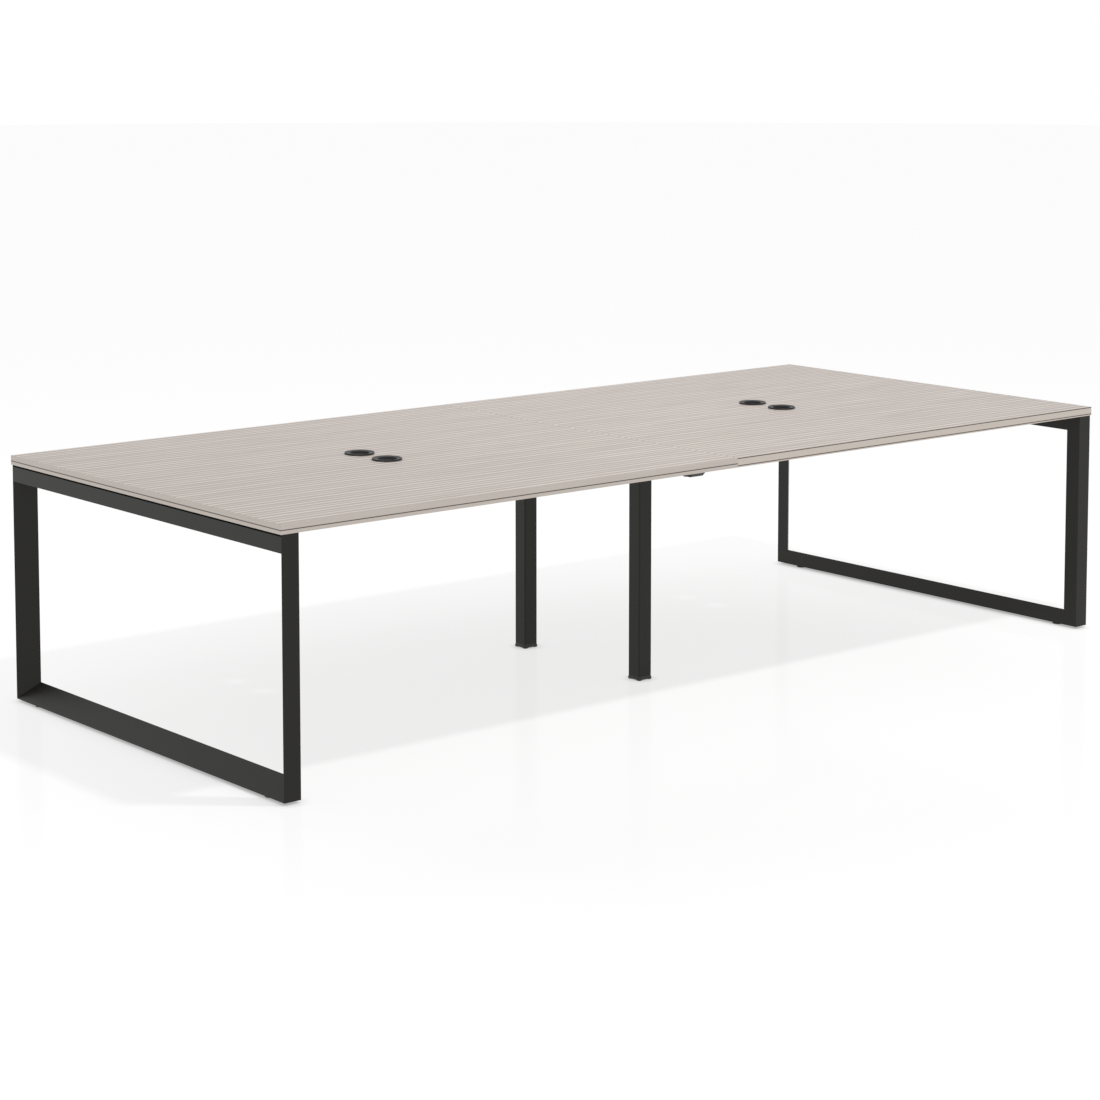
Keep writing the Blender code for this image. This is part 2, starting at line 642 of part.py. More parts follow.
def add_joint_plate(row):
    name = f"{row}_joint_plate"
    y = ROWS[row] * (DESK_DEPTH / 2 - JOINT_PLATE_SETBACK)
    plate = rounded_rectangle(JOINT_PLATE_LENGTH, JOINT_PLATE_WIDTH, PLATE_ROUND)
    screws = [circle(TOP_SCREW_RADIUS, (sign * JOINT_SCREW_SPACING / 2, 0)) for sign in SIDES.values()]
    high = TOP_UNDERSIDE - FIT_GAP
    bm = straight(name, [plate, *screws], high - JOINT_PLATE_THICKNESS, high)
    add_part(name, bm, "zinc", (0, y, 0))


for side in SIDES:
    add_top_panel(side)
    add_edging(side)
    add_grommets(side)
    add_legs(side)
    add_floor_rail(side)
    add_top_rail(side)
    add_rail_spacer(side)
    add_seam_spacer(side)
    add_feet(side)
    for row in ROWS:
        add_long_beam(side, row)
for row in ROWS:
    add_post(row)
    add_post_insert(row)
    add_post_foot(row)
    add_joint_plate(row)
add_cross_beam()
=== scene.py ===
# %% [markdown]
# A bench desk for four: two pale wood-grain tops stand end to end on two steel loop frames and a centre
# support. The solids of every piece already exist, at their real size, so this lesson only dresses them.
# It loads them as a fixed frame, sets the camera and the light, mixes one finish after another, and adds
# the small parts that the solids leave out, such as screws, threads and the finer turned grommets.

# %% The fixed frame
import math

import bmesh
import bpy
from mathutils import Matrix, Vector


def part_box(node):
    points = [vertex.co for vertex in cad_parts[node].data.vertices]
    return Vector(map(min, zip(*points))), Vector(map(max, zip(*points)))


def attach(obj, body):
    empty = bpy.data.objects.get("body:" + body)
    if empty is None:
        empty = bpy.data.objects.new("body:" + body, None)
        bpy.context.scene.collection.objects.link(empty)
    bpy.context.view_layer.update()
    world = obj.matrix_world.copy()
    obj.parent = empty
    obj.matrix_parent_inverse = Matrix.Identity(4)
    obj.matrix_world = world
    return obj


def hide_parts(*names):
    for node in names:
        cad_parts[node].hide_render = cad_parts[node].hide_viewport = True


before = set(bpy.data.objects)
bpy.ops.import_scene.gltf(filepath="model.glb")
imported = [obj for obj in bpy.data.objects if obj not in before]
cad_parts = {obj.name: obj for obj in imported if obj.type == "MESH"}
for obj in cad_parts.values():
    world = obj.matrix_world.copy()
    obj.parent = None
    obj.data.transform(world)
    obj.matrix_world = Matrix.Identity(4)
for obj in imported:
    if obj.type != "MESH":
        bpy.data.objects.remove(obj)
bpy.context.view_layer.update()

# %% [markdown]
# The camera comes first, because every later choice is judged through it. The desk was photographed from
# its front left corner with a long lens held level, and the picture was then framed lower than the lens
# points, which is what a lens shift does. A smaller shift with a slight tilt down gives nearly the same
# picture, and it also keeps the whole desk in the picture when the camera goes round it at eye level.

# %% The camera
LENS = 89.703  # mm, on a sensor of the usual 36 mm
CAMERA_PLACE = (-5.4636, -6.4100, 2.0444)
CAMERA_HEADING = math.radians(50.2293)  # from +X towards +Y
CAMERA_TILT = math.radians(5.6087)  # below the horizon
CAMERA_SHIFT = -0.25

camera_data = bpy.data.cameras.new("camera")
camera_data.lens = LENS
camera_data.shift_y = CAMERA_SHIFT
camera = bpy.data.objects.new("camera", camera_data)
camera.location = CAMERA_PLACE
camera.rotation_euler = (math.pi / 2 - CAMERA_TILT, 0, CAMERA_HEADING - math.pi / 2)
bpy.context.scene.collection.objects.link(camera)
bpy.context.scene.camera = camera
bpy.context.scene.view_settings.view_transform = "Standard"
print("camera at", camera.location[:], "with a lens of", camera_data.lens, "mm")

# %% [markdown]
# Finishes, floor and screws are all node trees, and they are easier to read as sums than as boxes and
# cables. So one small class wraps a socket and turns Python arithmetic into Math nodes, and a second one
# adds any other node: its settings go in first, then the values or links of its sockets.

# %% Node trees as Python
def arithmetic(operation):
    """The operator on a wire, and its reflected form for a number that comes first."""
    def forward(self, other):
        return self.nodes.add("ShaderNodeMath", {"operation": operation}, {0: self, 1: other})

    def reflected(self, other):
        return self.nodes.add("ShaderNodeMath", {"operation": operation}, {0: other, 1: self})

    return forward, reflected


class Wire:
    """One output socket that takes part in arithmetic."""

    def __init__(self, nodes, socket):
        self.nodes = nodes
        self.socket = socket

    __add__, __radd__ = arithmetic("ADD")
    __sub__, __rsub__ = arithmetic("SUBTRACT")
    __mul__, __rmul__ = arithmetic("MULTIPLY")
    __truediv__, __rtruediv__ = arithmetic("DIVIDE")
    __gt__ = arithmetic("GREATER_THAN")[0]


class Nodes:
    """A node tree that grows by one call for each node."""

    def __init__(self, tree):
        self.tree = tree

    def add(self, kind, settings=None, sockets=None, output=0):
        node = self.tree.nodes.new(kind)
        for name, value in (settings or {}).items():
            setattr(node, name, value)
        self.connect(node, sockets or {})
        return Wire(self, node.outputs[output])

    def connect(self, node, sockets):
        for name, value in sockets.items():
            if isinstance(value, Wire):
                self.tree.links.new(value.socket, node.inputs[name])
            else:
                node.inputs[name].default_value = value

    def clamped(self, value, low, high):
        """The value's way from low to high, as a number from 0 to 1 with soft ends."""
        limits = {"Value": value, "From Min": low, "From Max": high}
        return self.add("ShaderNodeMapRange", {"interpolation_type": "SMOOTHSTEP"}, limits)

    def blend(self, share, first, second):
        """The first colour, giving way to the second as the share goes from 0 to 1."""
        # The Mix node has sockets of the same name for each kind of data, so these go by number.
        return self.add("ShaderNodeMix", {"data_type": "RGBA"}, {0: share, 6: first, 7: second}, 2)


def from_picture(red, green, blue):
    """A colour as a picture holds it, from 0 to 255, in the linear light that shaders work in."""
    linear = []
    for level in (red / 255, green / 255, blue / 255):
        linear.append(level / 12.92 if level <= 0.04045 else ((level + 0.055) / 1.055) ** 2.4)
    return (*linear, 1)


print("node helpers ready; mid grey is", from_picture(128, 128, 128)[0])

# %% [markdown]
# The desk stands in a white studio: an even dome of light all round, a pale floor that runs out to the
# horizon, and a few lamps. The dome is the world's background. It gives most of the light and the lamps give
# the rest, so a colour renders about as it is written. Rays from the camera, and those that mirrors and
# glass send on, see the dome as white.

# %% The dome of light
DOME_LIGHT = 0.766
WHITE = (1, 1, 1, 1)


def seen_rays(nodes):
    """1 for a ray that shows the background itself, straight or in a reflection, and 0 for plain light."""
    paths = ("Is Camera Ray", "Is Glossy Ray", "Is Transmission Ray")
    rays = [nodes.add("ShaderNodeLightPath", None, None, path) for path in paths]
    return nodes.clamped(rays[0] + rays[1] + rays[2], 0.0, 1.0)


world = bpy.data.worlds.new("studio_dome")
world.use_nodes = True
bpy.context.scene.world = world
dome = Nodes(world.node_tree)
dome_strength = DOME_LIGHT + (1 - DOME_LIGHT) * seen_rays(dome)
dome.connect(world.node_tree.nodes["Background"], {"Color": WHITE, "Strength": dome_strength})
print("dome light:", DOME_LIGHT)

# %% [markdown]
# A real white sweep is painted board that is lit from everywhere, so it glows by itself almost as much as
# it is lit. Here the glow is an emission a little under white that rises to white away from the desk. A
# thin matt coat over it takes the lamp's shadow, and a trace of gloss mirrors the feet. Close under a piece
# the glow is shaded as well, which gives the soft contact shadow along the floor rails.

# %% The floor
FLOOR_RADIUS = 40.0
FLOOR_STEPS = 96
FLOOR_GLOW = 0.764
FLOOR_COAT = 0.12  # how much of the light the floor sends back
FLOOR_GLOSS = 0.025
FLOOR_GLOSS_ROUGHNESS = 0.12
FLOOR_BOUNCE = 0.85  # light that the floor sends up to the desk
FADE_MIDDLE = (-0.25, -0.7, 0.0)
FADE_START, FADE_END = 1.0, 2.6  # from that middle, where the floor turns fully white
FADE_GLOW = 0.09
CONTACT_REACH = 0.035  # how far a piece just above the floor darkens it
CONTACT_SHADE = 0.55
CONTACT_SAMPLES = 8


def floor_glow(nodes):
    place = nodes.add("ShaderNodeTexCoord", None, None, "Object")
    ends = {0: place, 1: FADE_MIDDLE}
    distance = nodes.add("ShaderNodeVectorMath", {"operation": "DISTANCE"}, ends, "Value")
    glow = FLOOR_GLOW + FADE_GLOW * nodes.clamped(distance, FADE_START, FADE_END)
    reach = {"Distance": CONTACT_REACH}
    openness = nodes.add("ShaderNodeAmbientOcclusion", {"samples": CONTACT_SAMPLES}, reach, "AO")
    return glow * (1 - CONTACT_SHADE * (1 - openness))


def floor_finish():
    material = bpy.data.materials.new("studio_floor")
    material.use_nodes = True
    nodes = Nodes(material.node_tree)
    material.node_tree.nodes.remove(material.node_tree.nodes["Principled BSDF"])
    light = nodes.add("ShaderNodeEmission", None, {"Color": WHITE, "Strength": floor_glow(nodes)})
    coat = nodes.add("ShaderNodeBsdfDiffuse", None, {"Color": (FLOOR_COAT, FLOOR_COAT, FLOOR_COAT, 1)})
    gloss = nodes.add("ShaderNodeBsdfGlossy", None, {"Color": WHITE, "Roughness": FLOOR_GLOSS_ROUGHNESS})
    surface = nodes.add("ShaderNodeMixShader", None, {0: FLOOR_GLOSS, 1: coat, 2: gloss})
    shown = nodes.add("ShaderNodeAddShader", None, {0: light, 1: surface})
    bounce = nodes.add("ShaderNodeEmission", None, {"Color": WHITE, "Strength": FLOOR_BOUNCE})
    mixed = nodes.add("ShaderNodeMixShader", None, {0: seen_rays(nodes), 1: bounce, 2: shown})
    nodes.connect(material.node_tree.nodes["Material Output"], {"Surface": mixed})
    return material


floor_mesh = bmesh.new()
bmesh.ops.create_circle(floor_mesh, cap_ends=True, segments=FLOOR_STEPS, radius=FLOOR_RADIUS)
floor_data = bpy.data.meshes.new("studio_floor")
floor_mesh.to_mesh(floor_data)
floor_mesh.free()
floor = bpy.data.objects.new("studio_floor", floor_data)
floor_data.materials.append(floor_finish())
floor_only = bpy.data.collections.new("floor_only")
bpy.context.scene.collection.children.link(floor_only)
floor_only.objects.link(floor)
print("floor radius:", FLOOR_RADIUS, "m")

# %% [markdown]
# A small lamp high in front draws the desk's shadow. The floor's coat is so thin that it needs a far
# stronger lamp than the desk can bear, so the lamp is split in two at one place: a gentle one for everything,
# and a strong one that light linking keeps to the floor. A third, weak and close above the right top, makes
# the tops fade towards the near corner.

# %% The lamps
FRONT_LAMP, UPPER_LAMP = Vector((0.33, -2.47, 5.30)), Vector((0.60, 0.50, 3.00))
LAMP_SIZE = 0.38
DESK_LAMP_POWER, UPPER_LAMP_POWER = 42.0, 5.4  # watts
FLOOR_LAMP_POWER = 285.0
ON_FLOOR = Vector((1, 1, 0))  # a place times this lies on the floor below it


def add_lamp(name, place, target, power):
    data = bpy.data.lights.new(name, "AREA")
    data.shape = "DISK"
    data.size = LAMP_SIZE
    data.energy = power
    lamp = bpy.data.objects.new(name, data)
    lamp.location = place
    lamp.rotation_euler = (target - place).to_track_quat("-Z", "Y").to_euler()
    bpy.context.scene.collection.objects.link(lamp)
    return lamp


add_lamp("desk_lamp", FRONT_LAMP, Vector(), DESK_LAMP_POWER)
add_lamp("upper_lamp", UPPER_LAMP, UPPER_LAMP * ON_FLOOR, UPPER_LAMP_POWER)
floor_lamp = add_lamp("floor_lamp", FRONT_LAMP, Vector(), FLOOR_LAMP_POWER)
floor_lamp.light_linking.receiver_collection = floor_only
print("lamps at", FRONT_LAMP[:], UPPER_LAMP[:])

# %% [markdown]
# Every finish starts from the same two steps: a material with its Principled shader, and the place on the
# desk in metres. All pieces keep their place in their mesh, so Object coordinates are the desk's own frame
# and a pattern runs on from one piece to the next. Colour, roughness and bump then come from noise, which is
# stretched for a grain and even for everything else.

# %% A finish to start from
class Finish(Nodes):
    """A material with one Principled shader, and the place on the desk in metres."""

    def __init__(self, name, constants):
        self.material = bpy.data.materials.new(name)
        self.material.use_nodes = True
        super().__init__(self.material.node_tree)
        self.shader = self.tree.nodes["Principled BSDF"]
        self.place = self.add("ShaderNodeTexCoord", None, None, "Object")
        self.connect(self.shader, constants)

    def axis(self, letter):
        return self.add("ShaderNodeSeparateXYZ", None, {0: self.place}, letter.upper())

    def noise(self, waves, detail=2.0):
        """Soft noise from about 0.25 to 0.75, of so many waves to the metre, even or for each axis."""
        stretch = waves if isinstance(waves, tuple) else (waves, waves, waves)
        scaled = self.add("ShaderNodeMapping", None, {"Vector": self.place, "Scale": stretch})
        return self.add("ShaderNodeTexNoise", None, {"Vector": scaled, "Scale": 1.0, "Detail": detail})

    def surface(self, colour, roughness, normal=None):
        """Links what changes over the surface."""
        self.connect(self.shader, {"Base Color": colour, "Roughness": roughness})
        if normal:
            self.connect(self.shader, {"Normal": normal})
        return self.material

    def bumps(self, height, depth):
        """A normal for a surface whose height goes from 0 to 1 over the depth in metres."""
        return self.add("ShaderNodeBump", None, {"Height": height, "Distance": depth, "Strength": 1.0})


print("a finish offers", [step for step in vars(Finish) if not step.startswith("_")])

# %% [markdown]
# The tops are faced with a printed wood-grain laminate: a pale greige ground with light streaks along the
# desk. The print comes off a roller, so the streaks repeat: three of unequal strength to every 79 mm.
# Noise alone would scatter them. A cosine across the grain sets each streak in its place instead. Noise
# then shifts it by about a millimetre, lets it fade and return along its length and splits it into fibres,
# and the finest noise adds the pores. The right top is turned round, so its print runs the other way.

# %% Wood-grain laminate
LAMINATE_DARK = from_picture(166, 155, 147)
LAMINATE_LIGHT = from_picture(226, 215, 207)
LAMINATE_PORE = from_picture(159, 148, 140)
LINE_REPEAT = 0.079  # metres across the grain
LINES = ((0.43, 1.0), (0.79, 0.85), (0.09, 0.58))  # place in the repeat, and strength
RIGHT_SHIFT = 0.10  # of the repeat, by which the right board was cut differently
LINE_EDGE = 0.87  # of the cosine where a line starts
LINE_WANDER = 0.006  # metres that the whole range of the noise would shift a line
NOISE_MIDDLE = 0.5
GROUND_SHARE, LINE_SHARE = 0.16, 0.84  # of the way from dark to light
FIBRE_SHARE, THREAD_SHARE = 0.30, 0.25  # the same, for the fine grain between the lines
FADING_LEAST, FADING_SPAN = 0.3, 1.4  # a line's strength along its length, over the range of the noise
SPLIT_LOSS, SPLIT_SPAN = 0.7, 3.4  # what a line loses of its strength, and what its fibres give back
WANDER_WAVES, FADING_WAVES = (1.1, 9.0, 1.0), (4.0, 38.0, 1.0)  # along the grain, across it, and upright
THREAD_WAVES, FIBRE_WAVES = (1.6, 120.0, 1.0), (2.5, 330.0, 1.0)
PORE_WAVES = (5.0, 420.0, 1.0)
PORE_START, PORE_FULL = 0.56, 0.74  # of the noise
PORE_SHARE, PORE_DEPTH = 0.30, 0.00004
LAMINATE_ROUGHNESS, PORE_ROUGHNESS = 0.46, 0.10
PLASTIC_SPECULAR = 0.35  # for laminate, edging and moulded plastic


def laminate_pores(finish):
    return finish.clamped(finish.noise(PORE_WAVES), PORE_START, PORE_FULL)


def laminate_lines(finish):
    """The printed streaks, from 0 between them to their strength."""
    on_right = finish.axis("x") > 0.0
    wander = (finish.noise(WANDER_WAVES, detail=1.0) - NOISE_MIDDLE) * LINE_WANDER
    across = (finish.axis("y") * (1 - 2 * on_right) + wander) / LINE_REPEAT + RIGHT_SHIFT * on_right
    lines = 0
    for place, strength in LINES:
        wave = finish.add("ShaderNodeMath", {"operation": "COSINE"}, {0: (across - place) * math.tau})
        lines = lines + strength * finish.clamped(wave, LINE_EDGE, 1.0)
    return lines * (FADING_SPAN * finish.noise(FADING_WAVES) + FADING_LEAST)


def laminate_colour(finish, pores):
    fibres = finish.noise(FIBRE_WAVES, detail=3.0)
    threads = finish.noise(THREAD_WAVES)
    share = GROUND_SHARE + LINE_SHARE * laminate_lines(finish) * (SPLIT_SPAN * fibres - SPLIT_LOSS)
    share = share + FIBRE_SHARE * (fibres - NOISE_MIDDLE) + THREAD_SHARE * (threads - NOISE_MIDDLE)
    tone = finish.blend(share, LAMINATE_DARK, LAMINATE_LIGHT)
    return finish.blend(pores * PORE_SHARE, tone, LAMINATE_PORE)


def laminate():
    finish = Finish("wood_grain_laminate", {"Specular IOR Level": PLASTIC_SPECULAR})
    pores = laminate_pores(finish)
    roughness = LAMINATE_ROUGHNESS + PORE_ROUGHNESS * pores
    return finish.surface(laminate_colour(finish, pores), roughness, finish.bumps(1 - pores, PORE_DEPTH))


print("laminate lines every", LINE_REPEAT / len(LINES), "m")

# %% [markdown]
# The edging is a plastic strip printed to match, glued on all four sides. Its print is simpler: the ground
# colour with one dark line along the strip. On the left top the line lies below the middle, on the right
# top it lies lower and a second one follows the upper edge. So the pattern is measured down from the work
# surface, as a share of the top's thickness, and what is flush with the work surface takes its pattern.

# %% Printed edging
LEFT_EDGING = from_picture(201, 192, 183)
RIGHT_EDGING = from_picture(208, 198, 188)
EDGING_LINE = from_picture(84, 75, 73)
LEFT_LINE, RIGHT_LINE = 0.595, 0.82  # down from the work surface, as a share of the thickness
RIGHT_UPPER_LINE = 0.06
LINE_HALF_WIDTH = 0.045
LINE_GONE, LINE_FULL = 2.0, 0.4  # square of the distance from a line's middle, in half widths
FLUSH = 0.02  # share of the thickness that belongs to the work surface
EDGING_WAVES = (3.0, 3.0, 900.0)
EDGING_FIBRE_START, EDGING_FIBRE_FULL, EDGING_FIBRE_SHARE = 0.5, 0.8, 0.25
EDGING_ROUGHNESS, EDGING_ROUGHNESS_SPAN = 0.42, 0.12

TOP_LOW, TOP_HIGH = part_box("left_top_panel")
TOP_THICKNESS = TOP_HIGH.z - TOP_LOW.z


def edging():
    finish = Finish("printed_edging", {"Specular IOR Level": PLASTIC_SPECULAR})
    down = (TOP_HIGH.z - finish.axis("z")) / TOP_THICKNESS
    on_right = finish.axis("x") > 0.0

    def line(place):
        away = (down - place) / LINE_HALF_WIDTH
        return finish.clamped(away * away, LINE_GONE, LINE_FULL)

    dark = line(LEFT_LINE + (RIGHT_LINE - LEFT_LINE) * on_right) + line(RIGHT_UPPER_LINE) * on_right
    fibres = finish.noise(EDGING_WAVES)
    streaks = finish.clamped(fibres, EDGING_FIBRE_START, EDGING_FIBRE_FULL) * EDGING_FIBRE_SHARE
    ground = finish.blend(on_right, LEFT_EDGING, RIGHT_EDGING)
    ground = finish.blend(streaks, ground, LAMINATE_PORE)
    face = finish.blend(dark, ground, EDGING_LINE)
    work_surface = laminate_colour(finish, laminate_pores(finish))
    colour = finish.blend(finish.clamped(down, 0.0, FLUSH), work_surface, face)
    return finish.surface(colour, EDGING_ROUGHNESS + EDGING_ROUGHNESS_SPAN * fibres)


print("thickness of the tops:", TOP_THICKNESS, "m")

# %% [markdown]
# The steel is powder coated in charcoal: a matt plastic skin, baked on, with the fine orange peel that such
# a coat always has. Up close it has a faint speckle too. Most of what it shows is its soft sheen, so the
# colour itself is nearly black.

# %% Powder coat
COAT_COLOUR = from_picture(19, 18, 13)
COAT_SPECKLE = from_picture(31, 30, 25)
COAT_SPECULAR = 0.275
PEEL_WAVES, SPECKLE_WAVES, COAT_CLOUD_WAVES = 700.0, 2600.0, 3.0
PEEL_DEPTH = 0.00003
SPECKLE_START, SPECKLE_FULL, SPECKLE_SHARE = 0.55, 0.75, 0.6
COAT_ROUGHNESS, COAT_ROUGHNESS_SPAN = 0.30, 0.06


def powder_coat():
    finish = Finish("charcoal_powder_coat", {"Specular IOR Level": COAT_SPECULAR})
    peel = finish.noise(PEEL_WAVES)
    speckle = finish.clamped(finish.noise(SPECKLE_WAVES, detail=1.0), SPECKLE_START, SPECKLE_FULL)
    cloud = finish.noise(COAT_CLOUD_WAVES)
    colour = finish.blend(speckle * SPECKLE_SHARE, COAT_COLOUR, COAT_SPECKLE)
    roughness = COAT_ROUGHNESS + COAT_ROUGHNESS_SPAN * cloud + COAT_ROUGHNESS_SPAN * speckle
    return finish.surface(colour, roughness, finish.bumps(peel, PEEL_DEPTH))


print("orange peel every", 1 / PEEL_WAVES, "m")

# %% [markdown]
# Grommets, post feet and glides are moulded in black plastic. The mould is spark eroded, which leaves a fine
# even grain on them, so a fine noise makes the bump. A coarser one clouds the colour and the gloss a little.

# %% Moulded plastic
PLASTIC_DARK, PLASTIC_LIGHT = from_picture(36, 36, 37), from_picture(48, 48, 49)
PLASTIC_GRAIN_WAVES, PLASTIC_CLOUD_WAVES = 1500.0, 40.0
PLASTIC_GRAIN_DEPTH = 0.00004
PLASTIC_ROUGHNESS, PLASTIC_ROUGHNESS_SPAN = 0.46, 0.10


def black_plastic():
    finish = Finish("moulded_black_plastic", {"Specular IOR Level": PLASTIC_SPECULAR})
    grain = finish.noise(PLASTIC_GRAIN_WAVES)
    cloud = finish.noise(PLASTIC_CLOUD_WAVES)
    colour = finish.blend(cloud, PLASTIC_DARK, PLASTIC_LIGHT)
    roughness = PLASTIC_ROUGHNESS + PLASTIC_ROUGHNESS_SPAN * cloud
    return finish.surface(colour, roughness, finish.bumps(grain, PLASTIC_GRAIN_DEPTH))


print("mould grain every", 1 / PLASTIC_GRAIN_WAVES, "m")

# %% [markdown]
# The spacer strips, which set the tops a few millimetres off the frames, are soft rubber, quite matt. They
# lie in the gap's shadow, and their near black colour and faint gloss are partly painted shade for that gap,
# so one noise is enough for colour, roughness and bump.

# %% Rubber, darkened as painted shade
# Darker and less glossy than plain black rubber: painted shade for the gap between the tops and the rails.
RUBBER_GAP_SHADE_DARK, RUBBER_GAP_SHADE_LIGHT = from_picture(7, 7, 7), from_picture(15, 15, 15)
RUBBER_GAP_SHADE_SPECULAR = 0.04
RUBBER_WAVES, RUBBER_DEPTH = 900.0, 0.0001
RUBBER_ROUGHNESS, RUBBER_ROUGHNESS_SPAN = 0.72, 0.18


def rubber():
    finish = Finish("soft_rubber", {"Specular IOR Level": RUBBER_GAP_SHADE_SPECULAR})
    grain = finish.noise(RUBBER_WAVES, detail=3.0)
    colour = finish.blend(grain, RUBBER_GAP_SHADE_DARK, RUBBER_GAP_SHADE_LIGHT)
    roughness = RUBBER_ROUGHNESS + RUBBER_ROUGHNESS_SPAN * grain
    return finish.surface(colour, roughness, finish.bumps(grain, RUBBER_DEPTH))


print("rubber grain every", 1 / RUBBER_WAVES, "m")

# %% [markdown]
# Nuts, studs, screws and joint plates are zinc plated steel. The plating is cloudy, and the sheet under it is
# faintly brushed, so an even noise goes into the colour and a stretched one into roughness and bump.

# %% Zinc
ZINC_DARK, ZINC_LIGHT = from_picture(158, 161, 165), from_picture(196, 198, 200)
ZINC_CLOUD_WAVES, ZINC_BRUSH_WAVES = 120.0, (40.0, 2500.0, 400.0)
ZINC_BRUSH_DEPTH = 0.00001
ZINC_ROUGHNESS, ZINC_CLOUD_SPAN, ZINC_BRUSH_SPAN = 0.26, 0.14, 0.06


def zinc():
    finish = Finish("plated_zinc", {"Metallic": 1.0})
    cloud = finish.noise(ZINC_CLOUD_WAVES, detail=3.0)
    brush = finish.noise(ZINC_BRUSH_WAVES, detail=1.0)
    colour = finish.blend(cloud, ZINC_DARK, ZINC_LIGHT)
    roughness = ZINC_ROUGHNESS + ZINC_CLOUD_SPAN * cloud + ZINC_BRUSH_SPAN * brush
    return finish.surface(colour, roughness, finish.bumps(brush, ZINC_BRUSH_DEPTH))


print("clouds in the zinc every", 1 / ZINC_CLOUD_WAVES, "m")

# %% [markdown]
# Each solid now takes its finish. A list of all their names would be long and easy to get wrong, but the
# last words of a name say what a piece is, so a short table of endings does it. What isn't in it is steel
# with its powder coat.

# %% Every solid takes its finish
RECIPES = (laminate, edging, powder_coat, black_plastic, rubber, zinc)
FINISHES = {recipe.__name__: recipe() for recipe in RECIPES}
FINISH_OF_ENDING = {
    "top_panel": "laminate",
    "edging": "edging",
    "spacer": "rubber",
    "grommet_sleeve": "black_plastic",
    "grommet_cap": "black_plastic",
    "foot": "black_plastic",
    "post_insert": "black_plastic",
    "nut": "zinc",
    "joint_plate": "zinc",
}


def finish_of(node):
    return next((f for ending, f in FINISH_OF_ENDING.items() if node.endswith(ending)), "powder_coat")


for node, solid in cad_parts.items():
    solid.data.materials.clear()
    solid.data.materials.append(FINISHES[finish_of(node)])
print({f: sum(finish_of(n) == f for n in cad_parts) for f in FINISHES})

# %% [markdown]
# The rest of the lesson makes finer pieces. Some stand for a solid that was kept plain, the others are new.
# Each ends as a plain mesh whose points are already in their place on the desk, so the object itself stays
# at the origin. It then takes a finish, rides on a body of the desk and hides the solids that it stands for.
# Round forms are shaded smooth, and edges that turn by more than an angle stay crisp.

# %% From mesh to piece
ROOT = "desk"  # the body that stands still
CRISP_ANGLE = math.radians(32)


def mesh_of(name, shape):
    """A plain mesh from a bmesh, smooth except at its crisp edges."""
    mesh = bpy.data.meshes.new(name)
    shape.to_mesh(mesh)
    shape.free()
    mesh.shade_smooth()
    mesh.set_sharp_from_angle(angle=CRISP_ANGLE)
    return mesh


def add_piece(name, mesh, finish, body=ROOT, replaced=()):
    piece = bpy.data.objects.new(name, mesh)
    if not mesh.materials:
        mesh.materials.append(FINISHES[finish])
    bpy.context.scene.collection.objects.link(piece)
    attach(piece, body)
    if replaced:
        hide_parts(*replaced)
    print(name, "on", body, "with", len(mesh.polygons), "faces")


def evaluated(name, data, prepare=None):
    """The plain mesh of a curve or a mesh, after the modifiers that prepare() gives to an object of it."""
    holder = bpy.data.objects.new(name, data)
    bpy.context.scene.collection.objects.link(holder)
    if prepare:
        prepare(holder)
    graph = bpy.context.evaluated_depsgraph_get()
    result = bpy.data.meshes.new_from_object(holder.evaluated_get(graph))
    bpy.data.objects.remove(holder)
    return result


print("edges stay crisp from", math.degrees(CRISP_ANGLE), "degrees")

# %% [markdown]
# Each top is a board that the edging closes all round. As a solid it ends a hair inside the edging, which
# would show as a dark line, so a finer board takes its place: it reaches the edging, and its two cable
# holes are round instead of faceted. A filled flat curve with an extrusion is the shortest way to a plate
# with holes: the first loop is the outline and the others become the holes.

# %% The two boards
SIDES = {"left": -1, "right": 1}  # along X
ROWS = {"front": -1, "back": 1}  # along Y
FIT_GAP = 0.0003  # metres, between solids that touch
MERGE_DISTANCE = FIT_GAP / 100
HOLE_RADIUS = 0.040
HOLE_STEPS = 96


def hole(middle):
    turns = [math.tau * i / HOLE_STEPS for i in range(HOLE_STEPS)]
    return [(middle.x + HOLE_RADIUS * math.cos(t), middle.y + HOLE_RADIUS * math.sin(t)) for t in turns]


def plate(name, outlines, low, high):
    """A bmesh of a plate from low to high: the first outline is its outside, the rest are holes."""
    curve = bpy.data.curves.new(name, "CURVE")
    curve.dimensions = "2D"
    curve.fill_mode = "BOTH"
    curve.extrude = (high - low) / 2
    for outline in outlines:
        spline = curve.splines.new("POLY")
        spline.points.add(len(outline) - 1)
        for point, (x, y) in zip(spline.points, outline):
            point.co = (x, y, 0, 1)
        spline.use_cyclic_u = True
    shape = bmesh.new()
    shape.from_mesh(evaluated(name, curve))
    bmesh.ops.remove_doubles(shape, verts=shape.verts, dist=MERGE_DISTANCE)
    bmesh.ops.recalc_face_normals(shape, faces=shape.faces)
    bmesh.ops.translate(shape, verts=shape.verts, vec=(0, 0, (low + high) / 2))
    return shape


def grommet_middle(place):
    """The point on the work surface about which a grommet is turned."""
    low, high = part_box(f"{place}_grommet_sleeve")
    return Vector(((low.x + high.x) / 2, (low.y + high.y) / 2, TOP_HIGH.z))


for side in SIDES:
    low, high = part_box(f"{side}_top_panel")
    edge = Vector((FIT_GAP, FIT_GAP, 0))
    low, high = low - edge, high + edge
    outline = [(low.x, low.y), (high.x, low.y), (high.x, high.y), (low.x, high.y)]
    holes = [hole(grommet_middle(f"{side}_{row}")) for row in ROWS]
    name = f"{side}_board"
    mesh = mesh_of(name, plate(name, [outline, *holes], low.z, high.z))
    add_piece(name, mesh, "laminate", ROOT, [f"{side}_top_panel"])

